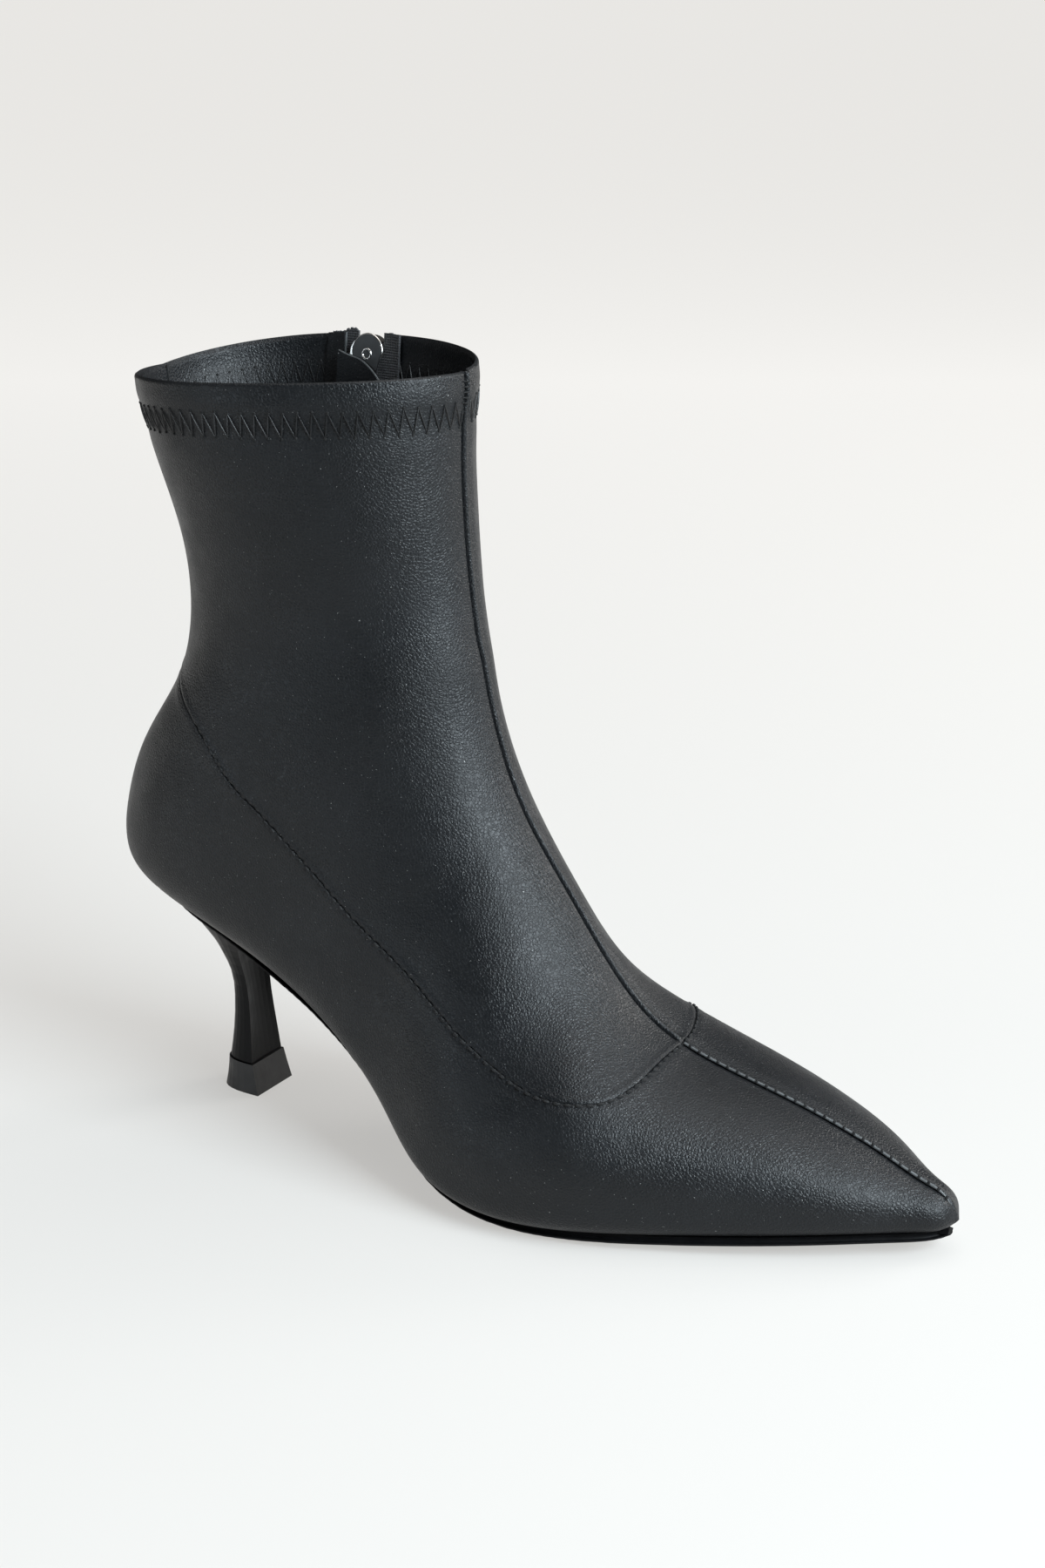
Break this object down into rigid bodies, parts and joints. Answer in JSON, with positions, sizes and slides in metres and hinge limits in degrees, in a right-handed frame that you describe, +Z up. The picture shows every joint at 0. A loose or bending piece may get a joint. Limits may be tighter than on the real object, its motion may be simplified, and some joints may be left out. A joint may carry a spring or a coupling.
{
  "type": "stiletto ankle bootie",
  "caption": "Pointed-toe ankle bootie with a slim flared stiletto heel, side zip with hinged pull tab, raised front seam and stitched collar.",
  "frame": {"origin": "middle of the bootie's box, on the floor", "axes": "+X towards the toe, +Y towards the inner side of the foot, +Z up"},
  "size_m": [0.2524, 0.0906, 0.2191],
  "materials": {
    "upper_leather": "satin, fine pebble grain",
    "lining": "matte",
    "outsole": "satin",
    "heel_cover": "smooth satin",
    "top_piece": "matte",
    "zip_tape": "woven, matte",
    "zip_teeth": "satin",
    "nickel": "polished nickel"
  },
  "bodies": {
    "boot": {"upper": "upper_leather", "insole": "lining", "outsole": "outsole", "heel": "heel_cover", "heel_tip": "top_piece", "zip_tape_front": "zip_tape", "zip_tape_back": "zip_tape", "zip_chain": "zip_teeth", "zip_bottom_stop": "nickel", "zip_slider": "nickel"},
    "pull_tab": {"pull_tab": "nickel"}
  },
  "joints": [
    {"name": "pull_tab_swing", "type": "hinge", "parent": "boot", "child": "pull_tab", "pos_m": [-0.06975, 0.04327, 0.21077], "axis": [1, 0, 0], "range_deg": [-10, 150]}
  ]
}
